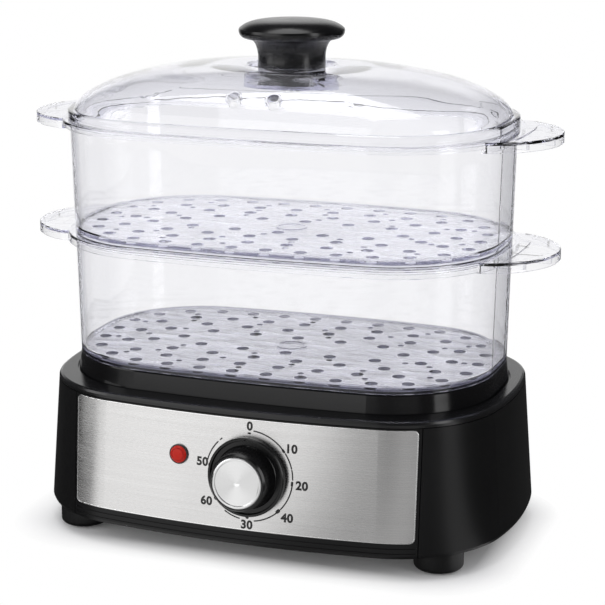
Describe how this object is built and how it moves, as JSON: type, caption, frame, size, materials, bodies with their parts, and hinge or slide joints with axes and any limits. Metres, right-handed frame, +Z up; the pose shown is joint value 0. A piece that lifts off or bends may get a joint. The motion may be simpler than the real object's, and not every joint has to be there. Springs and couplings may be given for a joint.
{
  "type": "electric food steamer",
  "caption": "Oval electric food steamer: black base with steel fascia, clockwork timer knob and lamp, drip tray, stacked clear baskets and a domed clear lid with a black knob.",
  "frame": {"origin": "on the table, under the centre of the overall box with the timer knob counted", "axes": "+X to the right of someone facing the fascia, -Y out of the fascia, +Z up"},
  "size_m": [0.2972, 0.1961, 0.2774],
  "materials": {
    "black_satin": "satin moulded polypropylene",
    "black_matte": "fine textured polypropylene",
    "fascia_steel": "brushed along its length, bright bevelled edge",
    "pad_rubber": "soft matt rubber",
    "zinc_steel": "zinc-plated steel",
    "stainless": "polished stainless steel",
    "heater_steel": "spun stainless steel",
    "heater_tube": "oxidised heating tube",
    "seal_rubber": "moulded silicone rubber",
    "phenolic": "phenolic moulding",
    "fuse_tin": "tinned",
    "timer_casing": "plain nylon moulding",
    "bell_steel": "nickel-plated bell",
    "knob_black": "semi-gloss black",
    "spun_aluminium": "circular spun finish, bright rim",
    "lamp_black": "black lamp housing",
    "lamp_red": "translucent red",
    "neon_glass": "clear glass",
    "terminal_white": "nylon",
    "sleeve_brass": "turned brass",
    "lead_brown": "insulated wire",
    "lead_blue": "insulated wire",
    "lead_green": "insulated wire",
    "lead_glass": "glass-sleeved wire",
    "lead_grey": "insulated wire",
    "tray_gloss": "gloss black polypropylene",
    "clear_plastic": "clear polycarbonate, frosted floor"
  },
  "bodies": {
    "base": {"body_shell": "black_satin", "front_bezel": "black_satin", "front_panel": "fascia_steel", "water_tank": "black_satin", "bottom_cover": "black_matte", "foot_front_left": "black_matte", "foot_front_right": "black_matte", "foot_rear_left": "black_matte", "foot_rear_right": "black_matte", "foot_pads": "pad_rubber", "foot_screws": "zinc_steel", "cover_screws": "zinc_steel", "heater_plate": "heater_steel", "heater_seal": "seal_rubber", "heater_element": "heater_tube", "heater_clamp": "zinc_steel", "heater_screws": "zinc_steel", "thermostat": "phenolic", "thermostat_strap": "zinc_steel", "fuse_clip": "zinc_steel", "thermal_fuse": "fuse_tin", "timer_body": "timer_casing", "timer_bracket": "zinc_steel", "timer_screws": "zinc_steel", "timer_bell": "bell_steel", "lamp_body": "lamp_black", "lamp_lens": "lamp_red", "lamp_clip": "zinc_steel", "neon_bulb": "neon_glass", "cord_gland": "seal_rubber", "terminal_block": "terminal_white", "terminal_sleeves": "sleeve_brass", "lead_live": "lead_brown", "lead_switched": "lead_brown", "lead_fuse": "lead_glass", "lead_heater": "lead_glass", "lead_neutral": "lead_blue", "lead_earth": "lead_green", "lamp_leads": "lead_grey"},
    "timer_dial": {"timer_shaft": "zinc_steel", "timer_knob": "knob_black", "timer_knob_cap": "spun_aluminium"},
    "tray": {"drip_tray": "tray_gloss"},
    "lower": {"lower_basket": "clear_plastic"},
    "upper": {"upper_basket": "clear_plastic"},
    "lid": {"lid": "clear_plastic", "lid_knob": "knob_black", "lid_knob_washer": "seal_rubber", "lid_knob_screw": "stainless"}
  },
  "joints": [
    {"name": "timer_turn", "type": "hinge", "parent": "base", "child": "timer_dial", "pos_m": [0.008, -0.07961, 0.05], "axis": [-0.0141, 0.9969, -0.0768], "range_deg": [0, 285]},
    {"name": "tray_lift", "type": "slide", "parent": "base", "child": "tray", "axis": [0, 0, 1], "range_m": [0, 0.07]},
    {"name": "lower_lift", "type": "slide", "parent": "tray", "child": "lower", "axis": [0, 0, 1], "range_m": [0, 0.06]},
    {"name": "upper_lift", "type": "slide", "parent": "lower", "child": "upper", "axis": [0, 0, 1], "range_m": [0, 0.06]},
    {"name": "lid_lift", "type": "slide", "parent": "upper", "child": "lid", "axis": [0, 0, 1], "range_m": [0, 0.08]}
  ]
}
